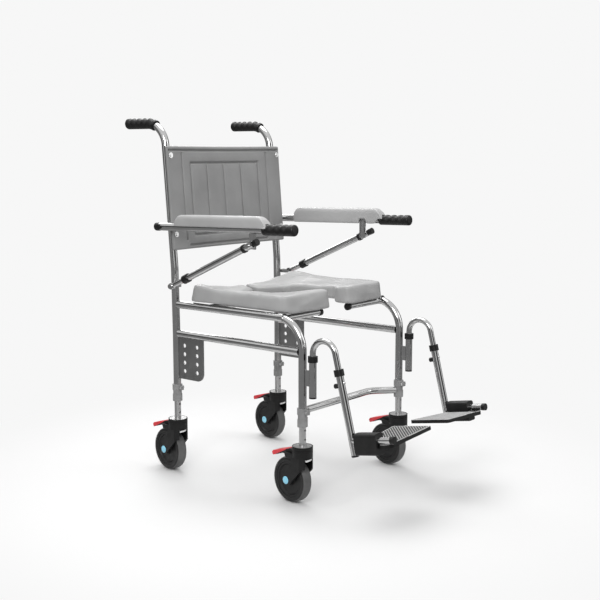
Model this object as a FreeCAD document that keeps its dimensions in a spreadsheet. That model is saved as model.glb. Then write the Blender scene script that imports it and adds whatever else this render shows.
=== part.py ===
import FreeCAD, Part
import math
import os
import Sketcher
from FreeCAD import Placement, Rotation, Vector

# Wheeled commode chair with swing-up armrests, swing-away footrests and telescopic legs.
# Millimetres. +Z is up, the occupant faces -Y and +X is the occupant's left.
# The origin lies on the floor under the centre of the chair's bounding box.

doc = FreeCAD.newDocument("CommodeChair")

DIMENSIONS = {
    # plan of the legs
    "half_track": 227.0,
    "rear_leg_y": 290.7,
    "front_leg_y": -182.9,
    # frame tube
    "frame_tube": 22.0,
    "frame_bore": 19.2,
    "rail_height": 500.5,
    "lower_rail_height": 415.6,
    "rail_bend": 82.0,
    "tube_end_height": 222.0,
    "front_bar_height": 235.0,
    "front_bar_bow": 57.0,
    "under_seat_bar_y": 160.7,
    "seat_arm_y": -112.9,
    "seat_arm_end": 70.0,
    # rear post and push handle
    "post_bend_height": 605.0,
    "post_step": 3.2,
    "post_bend": 300.0,
    "post_lean": 4.74,
    "handle_height": 1019.5,
    "handle_bend": 70.0,
    "handle_end_y": 474.6,
    "grip_diameter": 32.0,
    "grip_length": 118.0,
    "grip_end_wall": 5.0,
    # telescopic leg and its sleeve
    "leg_tube": 19.0,
    "leg_bore": 16.0,
    "leg_top_height": 345.0,
    "sleeve_bottom": 214.4,
    "sleeve_top": 264.3,
    # castor
    "wheel_diameter": 125.0,
    "tread_width": 32.0,
    "rim_diameter": 101.0,
    "castor_trail": 39.4,
    "castor_yaw": 7.9,
    "castor_top": 162.0,
    "housing_diameter": 56.0,
    "fork_gap": 37.0,
    "fork_width": 50.0,
    "axle": 12.0,
    # wheel mounting plate on each rear post
    "plate_thickness": 4.0,
    "plate_length": 99.0,
    "plate_bottom": 283.0,
    "plate_hole": 12.0,
    "plate_pitch_y": 50.0,
    "plate_pitch_z": 25.0,
    # seat
    "seat_bottom": 514.4,
    "seat_thickness": 54.0,
    "seat_belly": 5.5,
    # backrest
    "back_width": 490.0,
    "back_height": 298.0,
    "back_bottom": 657.0,
    "back_thickness": 11.0,
    "back_gap": 0.4,
    "back_screw_x": 231.0,
    # armrest and strut
    "arm_x": 265.0,
    "arm_pivot_height": 727.0,
    "arm_rise": 1.34,
    "arm_length": 513.0,
    "arm_tail": 18.0,
    "arm_grip_diameter": 31.0,
    "arm_grip_length": 105.0,
    "arm_pad_width": 34.0,
    "arm_pad_skirt": 7.2,
    "strut_x": 262.0,
    "strut_tube": 19.0,
    "strut_bore": 15.4,
    "strut_rod": 15.2,
    # footrest
    "socket_bottom": 300.0,
    "socket_length": 93.0,
    "hanger_tube": 16.0,
    "hanger_bend_height": 415.5,
    "footrest_start": 45.0,
    "footrest_drop": 227.0,
    "receiver_tube": 20.0,
    "receiver_bore": 16.2,
    "receiver_y": -217.6,
    "hanger_bend": 37.5,
    "hanger_lean": 14.4,
    "pivot_tube": 19.0,
    "pivot_length": 122.0,
    "footplate_rise": 10.0,
    "footplate_thickness": 9.0,
    "footplate_reach": 185.0,
    "footplate_tread": 1.0,
}

sheet = doc.addObject("Spreadsheet::Sheet", "Dims")
for row, (alias, value) in enumerate(DIMENSIONS.items(), start=1):
    sheet.set(f"A{row}", alias)
    sheet.set(f"B{row}", str(value))
    sheet.setAlias(f"B{row}", alias)
doc.recompute()

X, Y, Z = Vector(1, 0, 0), Vector(0, 1, 0), Vector(0, 0, 1)
SIDES = {"left": 1, "right": -1}
TOUCH = 1.0  # how far a welded tube end runs into its neighbour
nodes = []


def dim(alias):
    """A driving dimension, read from the sheet."""
    return float(sheet.get(alias))


def keep(name, piece):
    """Registers a finished sub-part under its node name."""
    piece.Label = name
    nodes.append(piece)
    return piece


def facing(direction):
    """The rotation that turns +Z to a direction."""
    return Rotation(Z, direction)


def rod(radius, length, start, direction=Z):
    """Solid cylinder; radius and length are formulas on the sheet."""
    piece = doc.addObject("Part::Cylinder", "Rod")
    piece.setExpression("Radius", radius)
    piece.setExpression("Height", length)
    piece.Placement = Placement(start, facing(direction))
    return piece


def block(size, corner, rotation=Rotation()):
    """Box with edges along its own axes; size holds three formulas."""
    piece = doc.addObject("Part::Box", "Block")
    for edge, formula in zip(("Length", "Width", "Height"), size):
        piece.setExpression(edge, formula)
    piece.Placement = Placement(corner, rotation)
    return piece


def fused(*pieces):
    union = doc.addObject("Part::MultiFuse", "Union")
    union.Shapes = list(pieces)
    return union


def group(*pieces):
    """Separate solids kept together in one node."""
    bundle = doc.addObject("Part::Compound", "Group")
    bundle.Links = list(pieces)
    return bundle


def cut(base, *tools):
    for tool in tools:
        difference = doc.addObject("Part::Cut", "Difference")
        difference.Base, difference.Tool = base, tool
        base = difference
    return base


def ring(outer, inner, length, start, direction=Z):
    """Hollow cylinder."""
    return cut(rod(outer, length, start, direction), rod(inner, length, start, direction))


def rounded(points, radii, closed=False):
    """Lines through the points, with a tangent arc of the given radius at each corner."""
    count = len(points)
    starts, ends, arcs = {}, {}, {}
    for i, (corner, radius) in enumerate(zip(points, radii)):
        starts[i] = ends[i] = corner
        if radius <= 0 or (not closed and i in (0, count - 1)):
            continue
        back = (points[i - 1] - corner).normalize()
        ahead = (points[(i + 1) % count] - corner).normalize()
        half = back.getAngle(ahead) / 2
        starts[i] = corner + back * (radius / math.tan(half))
        ends[i] = corner + ahead * (radius / math.tan(half))
        toward = (back + ahead).normalize()
        middle = corner + toward * (radius / math.sin(half) - radius)
        arcs[i] = Part.Arc(starts[i], middle, ends[i])
    pieces = []
    for i in range(count):
        if i in arcs:
            pieces.append(arcs[i])
        following = (i + 1) % count
        if closed or following:
            pieces.append(Part.LineSegment(ends[i], starts[following]))
    return pieces


def swept(diameter, wire):
    """Round bar of the given diameter formula, swept along a wire."""
    path = doc.addObject("Part::Feature", "Path")
    path.Shape = wire
    start = wire.Edges[0]
    section = doc.addObject("Part::Circle", "Section")
    section.setExpression("Radius", f"{diameter} / 2")
    first = start.valueAt(start.FirstParameter)
    section.Placement = Placement(first, facing(start.tangentAt(start.FirstParameter)))
    bar = doc.addObject("Part::Sweep", "Sweep")
    bar.Sections = [section]
    bar.Spine = (path, [f"Edge{i + 1}" for i in range(len(wire.Edges))])
    bar.Solid, bar.Frenet = True, True
    return bar


def bent_tube(outer, inner, points, radii):
    """Hollow tube through the points with rounded corners."""
    wire = Part.Wire([piece.toShape() for piece in rounded(points, radii)])
    return cut(swept(outer, wire), swept(inner, wire))


def origin_plane(body, role):
    return next(part for part in body.Origin.OriginFeatures if part.Role == role)


def sketch_on(body, role, lift=0.0):
    """Empty sketch on one of the body's own origin planes."""
    sketch = body.newObject("Sketcher::SketchObject", "Sketch")
    sketch.AttachmentSupport = [(origin_plane(body, role), "")]
    sketch.MapMode = "FlatFace"
    sketch.AttachmentOffset = Placement(Vector(0, 0, lift), Rotation())
    return sketch


def draw(sketch, points, radii):
    """Closed outline with rounded corners; the points are on the sketch's own axes."""
    flat = [Vector(across, up, 0) for across, up in points]
    sketch.addGeometry(rounded(flat, radii, closed=True), False)


def circle(sketch, across, up, diameter):
    """Circle whose diameter is bound to the sheet."""
    index = sketch.addGeometry(Part.Circle(Vector(across, up, 0), Z, 5), False)
    rule = sketch.addConstraint(Sketcher.Constraint("Diameter", index, 10))
    sketch.setExpression(f"Constraints[{rule}]", diameter)


def padded(body, sketch, length, midplane=False):
    pad = body.newObject("PartDesign::Pad", "Pad")
    pad.Profile = sketch
    pad.Midplane = midplane
    pad.setExpression("Length", length)
    return pad


def turned(points, radii, turn_axis="H_Axis"):
    """Body of revolution about the first axis of its XY plane."""
    body = doc.addObject("PartDesign::Body", "Turned")
    sketch = sketch_on(body, "XY_Plane")
    draw(sketch, points, radii)
    revolution = body.newObject("PartDesign::Revolution", "Revolution")
    revolution.Profile = sketch
    revolution.ReferenceAxis = (sketch, [turn_axis])
    revolution.Angle = 360
    return body


# ---------------------------------------------------------------- frame

def post_centre(height):
    """Depth of the leaning rear post's centre line at a height above its bend."""
    slope = math.tan(math.radians(dim("post_lean")))
    return dim("rear_leg_y") + dim("post_step") + (height - dim("post_bend_height")) * slope


def rear_post(side):
    """Leg socket, backrest post and push handle in one bent tube."""
    x, y = SIDES[side] * dim("half_track"), dim("rear_leg_y")
    points = [
        Vector(x, y, dim("tube_end_height")),
        Vector(x, y, dim("lower_rail_height")),
        Vector(x, y + dim("post_step"), dim("post_bend_height")),
        Vector(x, post_centre(dim("handle_height")), dim("handle_height")),
        Vector(x, dim("handle_end_y"), dim("handle_height")),
    ]
    bends = [0, dim("post_bend"), dim("post_bend"), dim("handle_bend"), 0]
    return bent_tube("Dims.frame_tube", "Dims.frame_bore", points, bends)


def side_rail(side):
    """Seat rail that bends down into the front leg."""
    x, rail = SIDES[side] * dim("half_track"), dim("rail_height")
    points = [
        Vector(x, dim("rear_leg_y") - dim("frame_tube") / 2 + TOUCH, rail),
        Vector(x, dim("front_leg_y"), rail),
        Vector(x, dim("front_leg_y"), dim("tube_end_height")),
    ]
    return bent_tube("Dims.frame_tube", "Dims.frame_bore", points, [0, dim("rail_bend"), 0])


def cross_rails():
    """Lower side rails, bowed front crossbar and the straight bar under the seat."""
    reach = dim("frame_tube") / 2 - TOUCH
    front, x, bar_height = dim("front_leg_y"), dim("half_track"), dim("front_bar_height")
    rails = [
        ring("Dims.frame_tube / 2", "Dims.frame_bore / 2", "Dims.rear_leg_y - Dims.front_leg_y - 20",
             Vector(sign * x, front + reach, dim("lower_rail_height")), Y)
        for sign in SIDES.values()
    ]
    ends, shoulder, bend = x - reach, 160.0, 60.0
    end_y, middle_y = front + 3, front + dim("front_bar_bow")
    plan = [(-ends, end_y), (-shoulder, middle_y), (shoulder, middle_y), (ends, end_y)]
    bar_points = [Vector(across, along, bar_height) for across, along in plan]
    bowed = bent_tube("Dims.receiver_tube", "Dims.receiver_bore", bar_points, [0, bend, bend, 0])
    leg_bores = [
        rod("Dims.frame_bore / 2 + 0.3", "2 * Dims.receiver_tube",
            Vector(sign * x, front, bar_height - dim("receiver_tube")))
        for sign in SIDES.values()
    ]
    straight = ring("Dims.receiver_tube / 2", "Dims.receiver_bore / 2", "2 * Dims.half_track - 20",
                    Vector(-ends, dim("under_seat_bar_y"), dim("rail_height")), X)
    return group(*rails, cut(bowed, *leg_bores), straight)


def seat_supports():
    """Clamp ring on each seat rail with a short arm that carries the front of the pad."""
    arms, clamp_width = [], 16.0
    for sign in SIDES.values():
        rail = Vector(sign * dim("half_track"), dim("seat_arm_y"), dim("rail_height"))
        clamp_start = rail - Y * (clamp_width / 2)
        clamp = rod("Dims.frame_tube / 2 + 2.5", f"{clamp_width}", clamp_start, Y)
        arm = rod("8.5", "Dims.half_track - Dims.seat_arm_end", rail - Z * 3, -X * sign)
        arms.append(cut(fused(clamp, arm), rod("Dims.frame_tube / 2", f"{clamp_width}", clamp_start, Y)))
    return group(*arms)


def hole_row(body, across, up):
    """Vertical row of four holes cut through a plate's body."""
    row = sketch_on(body, "YZ_Plane")
    circle(row, across, up, "Dims.plate_hole")
    pocket = body.newObject("PartDesign::Pocket", "Holes")
    pocket.Profile, pocket.Type, pocket.Midplane = row, "ThroughAll", True
    pattern = body.newObject("PartDesign::LinearPattern", "Row")
    pattern.Originals, pattern.Direction = [pocket], (row, ["V_Axis"])
    pattern.setExpression("Length", "3 * Dims.plate_pitch_z")
    pattern.Occurrences = 4
    body.Tip = pattern


def wheel_plate(side):
    """Drilled plate welded to the rear post and lower rail, for a large rear wheel."""
    body = doc.addObject("PartDesign::Body", "WheelPlate")
    overlap, corner, first_hole = 10.0, 24.0, 25.5
    rear, top = dim("rear_leg_y") - overlap, dim("lower_rail_height") - overlap
    front, bottom = rear - dim("plate_length"), dim("plate_bottom")
    sketch = sketch_on(body, "YZ_Plane")
    draw(sketch, [(rear, top), (front, top), (front, bottom), (rear, bottom)], [0, 0, corner, 0])
    padded(body, sketch, "Dims.plate_thickness", midplane=True)
    for row in (0, 1):
        hole_row(body, front + first_hole + row * dim("plate_pitch_y"), bottom + corner)
    body.Placement = Placement(Vector(SIDES[side] * dim("half_track"), 0, 0), Rotation())
    return body


def footrest_receivers():
    """Upright sockets in front of the front legs, each on a welded web."""
    sockets, web_width, weld = [], 6.0, 0.6
    for sign in SIDES.values():
        foot = Vector(sign * dim("half_track"), dim("receiver_y"), dim("socket_bottom"))
        socket = ring("Dims.receiver_tube / 2", "Dims.receiver_bore / 2", "Dims.socket_length", foot)
        web_corner = foot + Vector(-web_width / 2, dim("receiver_tube") / 2 - weld, 27)
        web = block((f"{web_width}", "Dims.front_leg_y - Dims.receiver_y - 20", "42"), web_corner)
        sockets.append(fused(socket, web))
    return group(*sockets)


def leg_points():
    """Name and plan position of each leg."""
    rows = {"front": dim("front_leg_y"), "rear": dim("rear_leg_y")}
    return {
        f"{row}_{side}": Vector(sign * dim("half_track"), y, 0)
        for row, y in rows.items() for side, sign in SIDES.items()
    }


def leg_sleeves():
    """Plastic sleeve at the foot of each frame tube, with a split clamp ear facing forward."""
    sleeves = []
    for foot in leg_points().values():
        low, high, end = dim("sleeve_bottom"), dim("sleeve_top"), dim("tube_end_height")
        lower = rod("14", "20", foot + Z * low)
        neck = rod("12.6", "Dims.sleeve_top - Dims.sleeve_bottom", foot + Z * low)
        upper = rod("14.5", "17", foot + Z * (high - 17))
        ear = block(("11", "10", "13"), foot + Vector(-5.5, -21, high - 16))
        shell = fused(lower, neck, upper, ear)
        tube_hole = rod("Dims.frame_tube / 2", "60", foot + Z * end)
        leg_hole = rod("Dims.leg_tube / 2 + 0.35", "60", foot + Z * (low - 5))
        sleeves.append(cut(shell, tube_hole, leg_hole))
    return group(*sleeves)


def frame_screws():
    """Clamp screw of each leg sleeve, and the washered screws that hold the backrest."""
    screws, half_ear, screw_heights = [], 5.5, (702.0, 927.0)
    for foot in leg_points().values():
        ear_middle = foot + Vector(0, -16.8, dim("sleeve_top") - 9.5)
        for sign in SIDES.values():
            screws.append(rod("3.6", "2.6", ear_middle + X * (half_ear * sign), X * sign))
    normal = back_normal()
    panel_face = dim("frame_tube") / 2 + dim("back_gap") + dim("back_thickness")
    for sign in SIDES.values():
        for height in screw_heights:
            on_panel = Vector(sign * dim("back_screw_x"), post_centre(height), height)
            washer_face = on_panel + normal * panel_face
            washer = rod("8", "1.5", washer_face, normal)
            head = rod("4.5", "4", washer_face, normal)
            screws.append(fused(washer, head))
    return group(*screws)


def handle_wire(x, length, beyond):
    """Handle axis back from a point beyond the tube's end, and down into the bend."""
    bend, height = dim("handle_bend"), dim("handle_height")
    turn = math.radians(90 - dim("post_lean"))
    bend_y = post_centre(height) + bend * math.tan(turn / 2)
    end_y = dim("handle_end_y") + beyond
    swing = (length - (end_y - bend_y)) / bend
    on_bend = [
        Vector(x, bend_y - bend * math.sin(angle), height - bend + bend * math.cos(angle))
        for angle in (swing, swing / 2, 0)
    ]
    straight = Part.LineSegment(on_bend[-1], Vector(x, end_y, height))
    return Part.Wire([Part.Arc(*on_bend).toShape(), straight.toShape()])


def push_grips():
    """Closed rubber sleeves over the ends of the push handles, bent with the tube."""
    grips = []
    wall, length = dim("grip_end_wall"), dim("grip_length")
    for sign in SIDES.values():
        x = sign * dim("half_track")
        sleeve = swept("Dims.grip_diameter", handle_wire(x, length, wall))
        grips.append(cut(sleeve, swept("Dims.frame_tube", handle_wire(x, length - wall, 0))))
    return group(*grips)


def back_normal():
    """Outward normal of the backrest's front face."""
    lean = math.radians(dim("post_lean"))
    return Vector(0, -math.cos(lean), math.sin(lean))


def backrest_panel():
    """Padded panel across the posts, bowed back between them."""
    body = doc.addObject("PartDesign::Body", "Backrest")
    sketch = sketch_on(body, "XY_Plane")
    half, thick, bow, flat = dim("back_width") / 2, dim("back_thickness"), 14.0, 208.0
    front = [Vector(-flat, -thick, 0), Vector(0, bow - thick, 0), Vector(flat, -thick, 0)]
    rear = [Vector(-flat, 0, 0), Vector(0, bow, 0), Vector(flat, 0, 0)]
    left_end = [Vector(flat, 0, 0), Vector(half, 0, 0), Vector(half, -thick, 0), Vector(flat, -thick, 0)]
    right_end = [Vector(-point.x, point.y, 0) for point in left_end]
    sketch.addGeometry([Part.Arc(*front), Part.Arc(*rear)], False)
    for end in (left_end, right_end):
        sketch.addGeometry([Part.LineSegment(a, b) for a, b in zip(end, end[1:])], False)
    padded(body, sketch, "Dims.back_height")
    base = Vector(0, post_centre(dim("back_bottom")), dim("back_bottom"))
    stand_off = dim("frame_tube") / 2 + dim("back_gap")
    body.Placement = Placement(base + back_normal() * stand_off, Rotation(X, -dim("post_lean")))
    return body


def seat_hollow():
    """Long dish between the front roll and the rear rise of the seat, cut out of its top."""
    body = doc.addObject("PartDesign::Body", "SeatHollow")
    sketch = sketch_on(body, "YZ_Plane")
    rear, front, above = dim("rear_leg_y") - 40, dim("front_leg_y") + 32, 600.0
    rim = [(rear, 562), (rear - 100, 545), (rear - 220, 543), (front + 71, 556), (front, 566)]
    draw(sketch, rim + [(front, above), (rear, above)], [0, 120, 160, 160, 0, 0, 0])
    padded(body, sketch, "2 * Dims.back_width", midplane=True)
    return body


def seat_pad(side):
    """Half of the horseshoe seat: wide at the rear, waisted around the central opening."""
    body = doc.addObject("PartDesign::Body", "SeatPad")
    sketch = sketch_on(body, "XY_Plane")
    rear, front = dim("rear_leg_y") - 46, dim("front_leg_y") + 38
    outer = dim("back_width") / 2
    mouth, waist, meeting = 38.0, 98.0, 6.0  # half widths of the opening: front, middle and rear seam
    outline = [
        (outer, rear), (meeting, rear - 8), (meeting, rear - 62),
        (waist, rear - 100), (waist, front + 100), (mouth, front + 62), (mouth, front),
        (outer - 14, front + 10),
    ]
    outline = [(SIDES[side] * across, along) for across, along in outline]
    draw(sketch, outline, [45, 12, 24, 45, 40, 30, 30, 50])
    padded(body, sketch, "Dims.seat_thickness + Dims.seat_belly")
    underside = dim("seat_bottom") - dim("seat_belly")
    body.Placement = Placement(Vector(0, 0, underside), Rotation())
    rail_room_x = 212.0 if side == "left" else -262.0
    rail_room = block(("50", "600", "Dims.seat_belly"), Vector(rail_room_x, front - 50, underside))
    bar_room = block(("600", "200", "Dims.seat_belly"), Vector(-300, rear - 106, underside))
    return cut(body, seat_hollow(), rail_room, bar_room)


def frame_caps():
    """Black plugs and collars: seat-arm ends, and the top and bottom of each footrest socket."""
    caps = []
    for sign in SIDES.values():
        arm_end = Vector(sign * dim("seat_arm_end"), dim("seat_arm_y"), dim("rail_height") - 3)
        caps.append(rod("10.5", "9", arm_end, -X * sign))
        socket = Vector(sign * dim("half_track"), dim("receiver_y"), dim("socket_bottom"))
        caps.append(ring("13.2", "Dims.receiver_bore / 2", "16", socket + Z * dim("socket_length")))
        caps.append(rod("Dims.receiver_tube / 2", "4", socket - Z * 4))
    return group(*caps)


# ---------------------------------------------------------------- armrests

def arm_pivot(side):
    """Centre of the armrest's hinge, on the armrest tube's axis."""
    return Vector(SIDES[side] * dim("arm_x"), post_centre(dim("arm_pivot_height")), dim("arm_pivot_height"))


def arm_axis():
    """Direction from the hinge to the front of the armrest."""
    rise = math.radians(dim("arm_rise"))
    return Vector(0, -math.cos(rise), math.sin(rise))


def strut_pin(side):
    """Upper pivot of the strut, under the front half of the armrest."""
    return Vector(SIDES[side] * dim("strut_x"), dim("front_leg_y") + 153.8, 690.0)


def strut_stub(side):
    """Bottom of the short upright that carries the strut's upper pivot."""
    return strut_pin(side) + Vector(-12 * SIDES[side], 0, -10)


def strut_foot(side):
    """Lower pivot of the strut, beside the lug on the rear post."""
    return Vector(SIDES[side] * dim("strut_x"), dim("rear_leg_y") - 20.8, 558.0)


def strut_axis():
    return (strut_foot("left") - strut_pin("left")).normalize()


def arm_brackets():
    """Armrest hinge bolts with their spacers, and the lugs at the feet of the struts."""
    brackets = []
    for side, sign in SIDES.items():
        out = X * sign
        pivot = arm_pivot(side)
        inner_face = pivot - out * (dim("frame_tube") / 2 + 0.3)
        spacer = rod("9", "19", inner_face, -out)
        bolt = rod("4", "30", inner_face - out * 4, out)
        head = rod("7.5", "4", pivot + out * (dim("frame_tube") / 2 + 0.4), out)
        brackets.append(fused(spacer, bolt, head))
        foot = strut_foot(side)
        lug_x = 253.6 if sign > 0 else -233
        brackets.append(block(("20.6", "27", "9"), Vector(lug_x - 20.6, foot.y - 8, foot.z - 4)))
    return group(*brackets)


def arm_tube(side):
    """Armrest tube with the stub that carries the strut and the strut's pivot bolt."""
    sign, pivot, pin = SIDES[side], arm_pivot(side), strut_pin(side)
    out = X * sign
    rear_end = pivot - arm_axis() * (dim("arm_tail") - 1)
    tube = ring("Dims.frame_tube / 2", "Dims.frame_bore / 2", "Dims.arm_length - 8", rear_end, arm_axis())
    stub = rod("10", "52", strut_stub(side))
    inside = rod("Dims.frame_tube / 2 - 0.1", "Dims.arm_length - 8", rear_end, arm_axis())
    lap = block(("30", "30", "35"), Vector(pin.x - 15 + sign * 4.8, pin.y - 15, pin.z - 11))
    bolt = rod("4", "26", Vector(pin.x - out.x * 14, pin.y, pin.z), out)
    head = rod("6.5", "3.5", pin + out * (dim("strut_tube") / 2 + 0.4), out)
    hinge_hole = rod("4.08", "60", pivot - out * 30, out)
    return cut(fused(tube, cut(stub, inside, lap), bolt, head), hinge_hole)


def arm_grip_mouth(side):
    """Centre of the rear face of the armrest's front hand grip."""
    reach = dim("arm_length") - dim("arm_tail") - dim("arm_grip_length")
    return arm_pivot(side) + arm_axis() * reach


def arm_grips(side):
    """Front hand grip and rear end cap of an armrest."""
    pivot, axis, mouth = arm_pivot(side), arm_axis(), arm_grip_mouth(side)
    grip = rod("Dims.arm_grip_diameter / 2", "Dims.arm_grip_length", mouth, axis)
    grip = cut(grip, rod("Dims.frame_tube / 2", "Dims.arm_grip_length - 7", mouth, axis))
    cap = rod("Dims.frame_tube / 2 + 1", "11", pivot - axis * (dim("arm_tail") + 5), axis)
    cap = cut(cap, rod("Dims.frame_tube / 2", "12", pivot - axis * (dim("arm_tail") - 1), axis))
    return group(grip, cap)


def arm_pad(side):
    """Moulded pad on the armrest tube: a nose over the grip's mouth and a skirt down the inner side."""
    sign, pivot, axis = SIDES[side], arm_pivot(side), arm_axis()
    body = doc.addObject("PartDesign::Body", "ArmPad")
    sketch = sketch_on(body, "YZ_Plane")
    draw(sketch, [(-60, 2), (-70, 34), (-383, 36), (-405, 2)], [4, 9, 9, 4])
    padded(body, sketch, "Dims.arm_pad_width", midplane=True)
    edge = dim("arm_pad_width") / 2
    skirt = sketch_on(body, "YZ_Plane", lift=-edge if side == "left" else edge - dim("arm_pad_skirt"))
    draw(skirt, [(-62, 5), (-58, -12), (-384, -12), (-388, 5)], [1, 4, 4, 1])
    padded(body, skirt, "Dims.arm_pad_skirt")
    body.Placement = Placement(pivot - X * (2 * sign), Rotation(X, -dim("arm_rise")))
    tube_room = rod("Dims.frame_tube / 2 + 0.3", "Dims.arm_length", pivot - axis * 20, axis)
    grip_room = rod("Dims.arm_grip_diameter / 2 + 0.4", "60", arm_grip_mouth(side) - axis * 0.4, axis)
    stub_room = rod("10.4", "60", strut_stub(side))
    return cut(body, tube_room, grip_room, stub_room)


def strut_tube(side):
    """Outer tube of the telescopic strut, cross-drilled for its upper pivot bolt."""
    pin, axis = strut_pin(side), strut_axis()
    tube = ring("Dims.strut_tube / 2", "Dims.strut_bore / 2", "282", pin - axis * 14, axis)
    return cut(tube, rod("4.08", "60", pin - X * 30, X))


def strut_collars(side):
    """Black collar at the mouth of the strut and the clip ring near its top."""
    pin, axis = strut_pin(side), strut_axis()
    mouth = ring("12.5", "Dims.strut_tube / 2", "16", pin + axis * 252, axis)
    lip = ring("12.5", "Dims.strut_bore / 2", "4", pin + axis * 268, axis)
    clip = ring("11.5", "Dims.strut_tube / 2", "9", pin + axis * 16, axis)
    return group(fused(mouth, lip), clip)


def strut_rod(side):
    """Sliding inner rod with the eye and bolt of the lower pivot."""
    sign, pin, axis = SIDES[side], strut_pin(side), strut_axis()
    foot = strut_foot(side)
    shaft = rod("Dims.strut_rod / 2", "292", pin + axis * 24, axis)
    eye = rod("9", "12", foot - X * 6, X)
    bolt_head = rod("6.5", "5", foot + X * (6 * sign), X * sign)
    return fused(shaft, eye, bolt_head)


def strut_button(side):
    """Release knob at the top of the strut, on a stem that slides in the tube."""
    pin, axis = strut_pin(side), strut_axis()
    knob = rod("9.5", "12", pin - axis * 31, axis)
    stem = rod("Dims.strut_rod / 2", "10", pin - axis * 20, axis)
    return fused(knob, stem)


# ---------------------------------------------------------------- footrests

def hanger_direction():
    """Down and forward along the lower stretch of the footrest hanger."""
    lean = math.radians(dim("hanger_lean"))
    return Vector(0, -math.sin(lean), -math.cos(lean))


def hanger_shoulder(side):
    """Where the hanger's bend runs into its straight lower stretch."""
    lean, bend = math.radians(dim("hanger_lean")), dim("hanger_bend")
    centre = Vector(SIDES[side] * dim("half_track"), dim("receiver_y") - bend, dim("hanger_bend_height"))
    return centre + Vector(0, -bend * math.cos(lean), bend * math.sin(lean))


def hanger_tube(side):
    """Hook-shaped tube that plugs into the socket and carries the footrest."""
    x, bend = SIDES[side] * dim("half_track"), dim("hanger_bend")
    rear = Vector(x, dim("receiver_y"), dim("hanger_bend_height"))
    foot = Vector(x, rear.y, dim("socket_bottom") + 4)
    crown = Vector(x, rear.y - bend, rear.z + bend)
    shoulder, inside_footrest = hanger_shoulder(side), 145.0
    tip = shoulder + hanger_direction() * (dim("footrest_start") + inside_footrest)
    wire = Part.Wire([
        Part.LineSegment(foot, rear).toShape(),
        Part.Arc(rear, crown, shoulder).toShape(),
        Part.LineSegment(shoulder, tip).toShape(),
    ])
    return swept("Dims.hanger_tube", wire)


def footrest_pivot(side):
    """Where the footplate's pivot tube leaves the footrest tube."""
    return hanger_shoulder(side) + hanger_direction() * dim("footrest_drop")


def footplate_axis():
    """Forward direction of the pivot tube."""
    rise = math.radians(dim("footplate_rise"))
    return Vector(0, -math.cos(rise), math.sin(rise))


def footrest_tube(side):
    """Lower telescopic tube with the footplate's pivot tube welded across its foot."""
    start, along = hanger_shoulder(side) + hanger_direction() * dim("footrest_start"), hanger_direction()
    outer = rod("Dims.receiver_tube / 2", "223", start, along)
    bore = rod("Dims.receiver_bore / 2", "212", start, along)
    pivot = rod("Dims.pivot_tube / 2", "Dims.pivot_length", footrest_pivot(side), footplate_axis())
    return fused(cut(outer, bore), cut(pivot, rod("9.9", "240", start, along)))


def footrest_clamp(side):
    """Collar, length-locking knob and end cap on the footrest tube."""
    along = hanger_direction()
    rearward = Vector(0, -along.z, along.y)
    start = hanger_shoulder(side) + along * dim("footrest_start")
    collar = ring("13.2", "Dims.receiver_tube / 2", "14", start, along)
    lip = ring("13.2", "Dims.receiver_bore / 2", "3.5", start - along * 3.5, along)
    knob = rod("6.5", "11", start + along * 38 + rearward * 9.95, rearward)
    cap_start = footrest_pivot(side) + footplate_axis() * dim("pivot_length")
    cap = rod("Dims.pivot_tube / 2 + 0.5", "10", cap_start, footplate_axis())
    return group(fused(collar, lip), knob, cap)


def plate_frame(side, tip_up=0.0):
    """Placement whose X runs forward along the pivot tube, with the plate's inner edge tipped up."""
    ahead = footplate_axis()
    level = Rotation(ahead, X, ahead.cross(X), "XZY")
    return Placement(footrest_pivot(side), level.multiply(Rotation(X, -SIDES[side] * tip_up)))


def plate_clamp(side):
    """Moulded block that turns on the pivot tube and holds the footplate."""
    body = doc.addObject("PartDesign::Body", "PlateClamp")
    sketch = sketch_on(body, "YZ_Plane")
    outline = [(-SIDES[side] * across, up) for across, up in [(20, 19), (-14, 19), (-14, -37), (20, -37)]]
    draw(sketch, outline, [9, 9, 5, 5])
    circle(sketch, 0, 0, "Dims.pivot_tube + 0.16")
    padded(body, sketch, "70")
    frame = plate_frame(side)
    body.Placement = Placement(frame.Base + footplate_axis() * 14.2, frame.Rotation)
    return body


def footplate(side):
    """Plate that reaches inward from the clamp block and tips up slightly, with a raised tread."""
    body = doc.addObject("PartDesign::Body", "Footplate")
    sketch = sketch_on(body, "XY_Plane")
    reach = dim("footplate_reach")
    outline = [(15, 14), (84.6, 14), (84.6, -6), (119, -6), (123, reach), (-1.5, reach), (13, 50)]
    draw(sketch, [(along, -SIDES[side] * across) for along, across in outline], [0, 0, 4, 20, 7, 7, 12])
    padded(body, sketch, "Dims.footplate_thickness")
    tread = sketch_on(body, "XY_Plane", lift=dim("footplate_thickness"))
    outline = [(18, 28), (118, 28), (119, reach - 4), (3, reach - 4), (16, 52)]
    draw(tread, [(along, -SIDES[side] * across) for along, across in outline], [3, 3, 4, 4, 10])
    padded(body, tread, "Dims.footplate_tread")
    frame = plate_frame(side, tip_up=3.4)
    body.Placement = Placement(frame.Base - frame.Rotation.multVec(Z) * 20, frame.Rotation)
    return body


# ---------------------------------------------------------------- castors
# Each castor is drawn about its swivel axis, standing on the floor: X is the axle, Y trails.

PEDAL_HINGE = Vector(0, 14, 141)


def castor_place(leg):
    """Placement of a castor drawn about its swivel axis."""
    return Placement(leg_points()[leg], Rotation(Z, -dim("castor_yaw")))


def hub_centre():
    return Vector(0, dim("castor_trail"), dim("wheel_diameter") / 2)


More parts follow.
